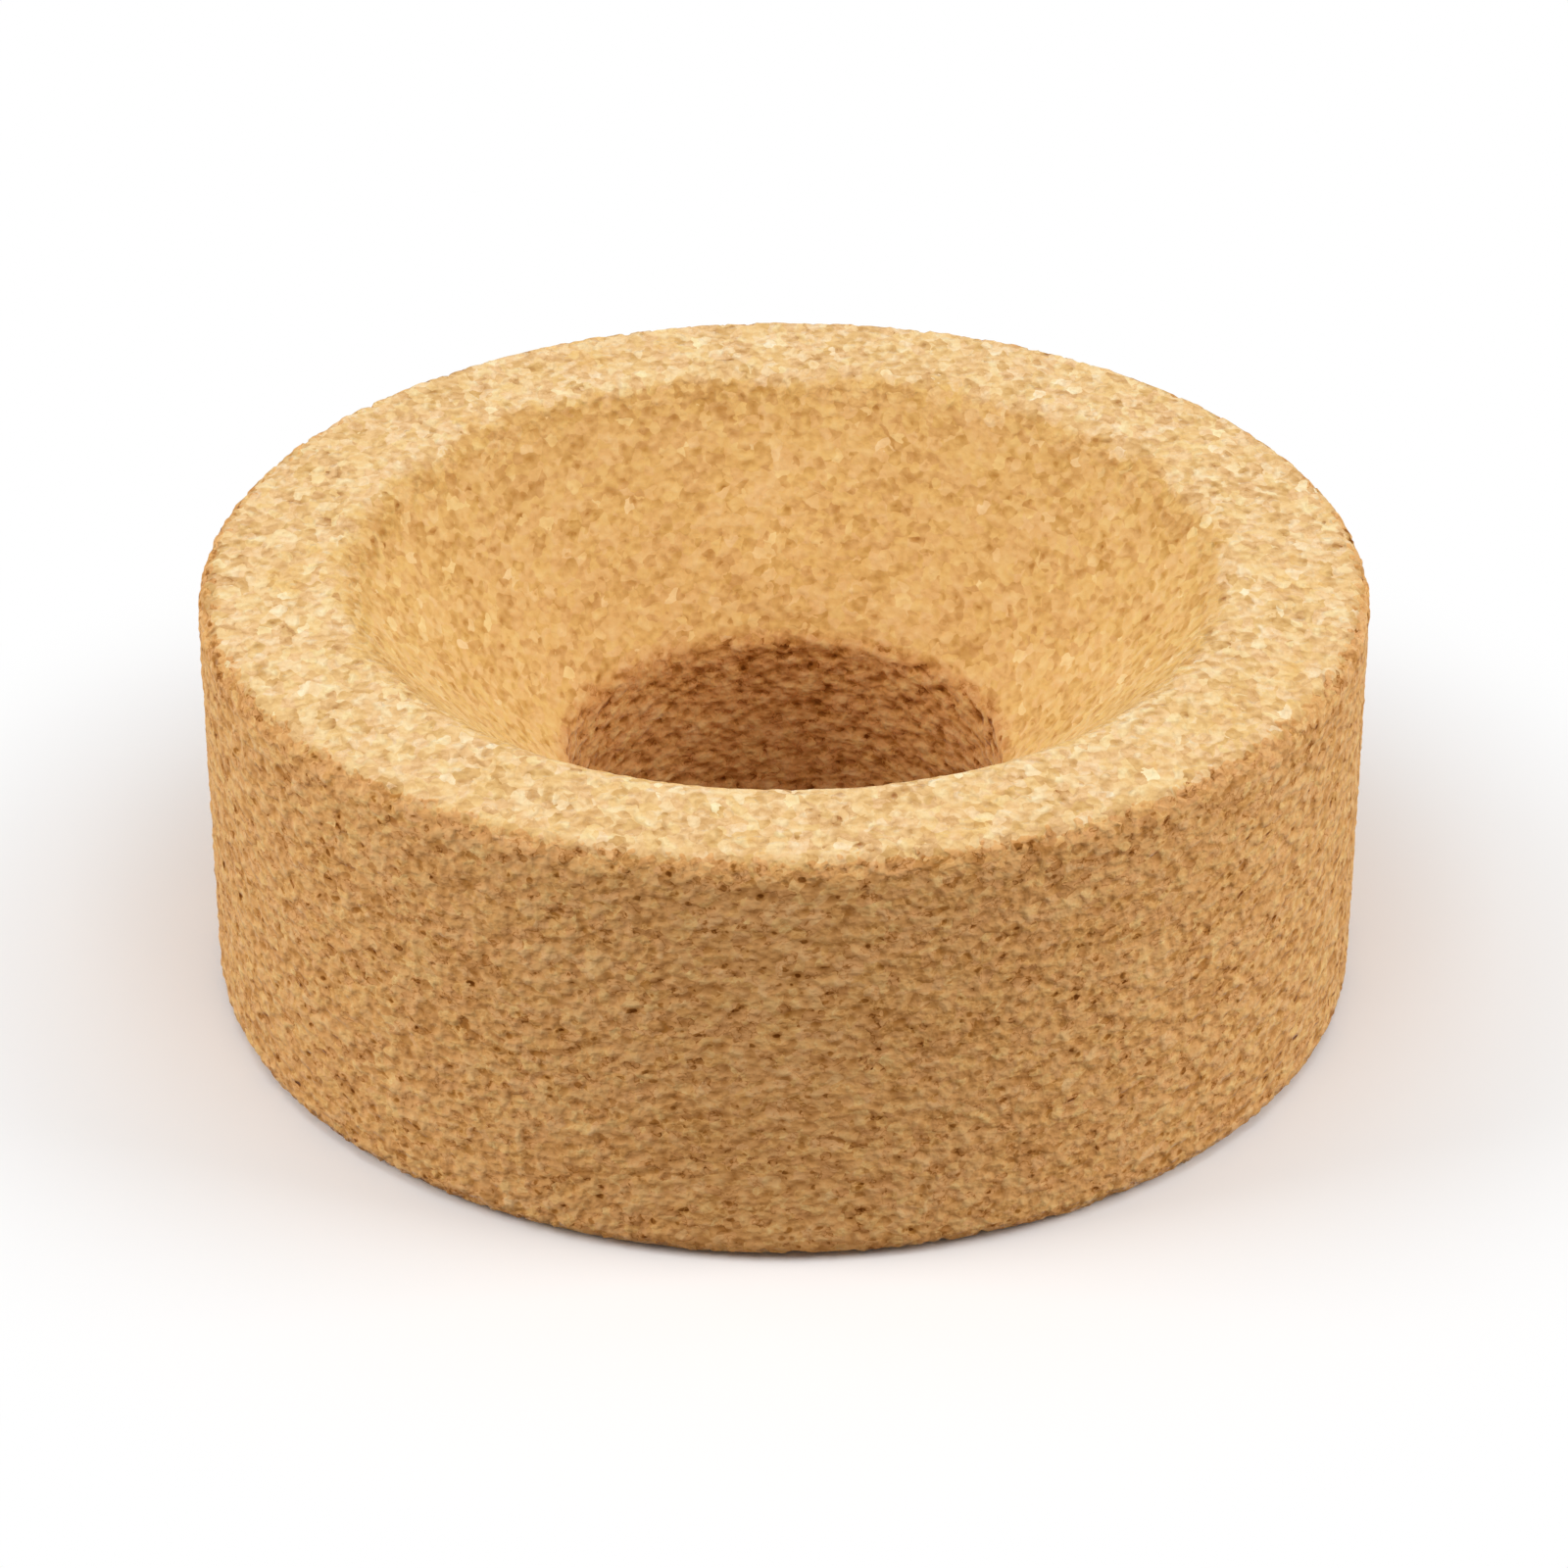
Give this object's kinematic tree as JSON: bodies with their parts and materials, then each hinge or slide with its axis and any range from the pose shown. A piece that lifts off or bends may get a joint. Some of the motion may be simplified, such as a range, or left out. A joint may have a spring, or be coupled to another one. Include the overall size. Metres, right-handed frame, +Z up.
{
  "type": "cork ring",
  "caption": "Flat ring of pressed cork granules with a conical seat and a hole through its base, which holds a round-bottomed flask upright.",
  "frame": {"origin": "centre of the base, on the face that stands on the bench", "axes": "+Z up along the axis of the ring, out through the mouth of the seat; X and Y are any two directions across the ring"},
  "size_m": [0.08, 0.08, 0.03],
  "materials": {
    "cork": "matte"
  },
  "bodies": {
    "root": {"cork_ring": "cork"}
  },
  "joints": []
}
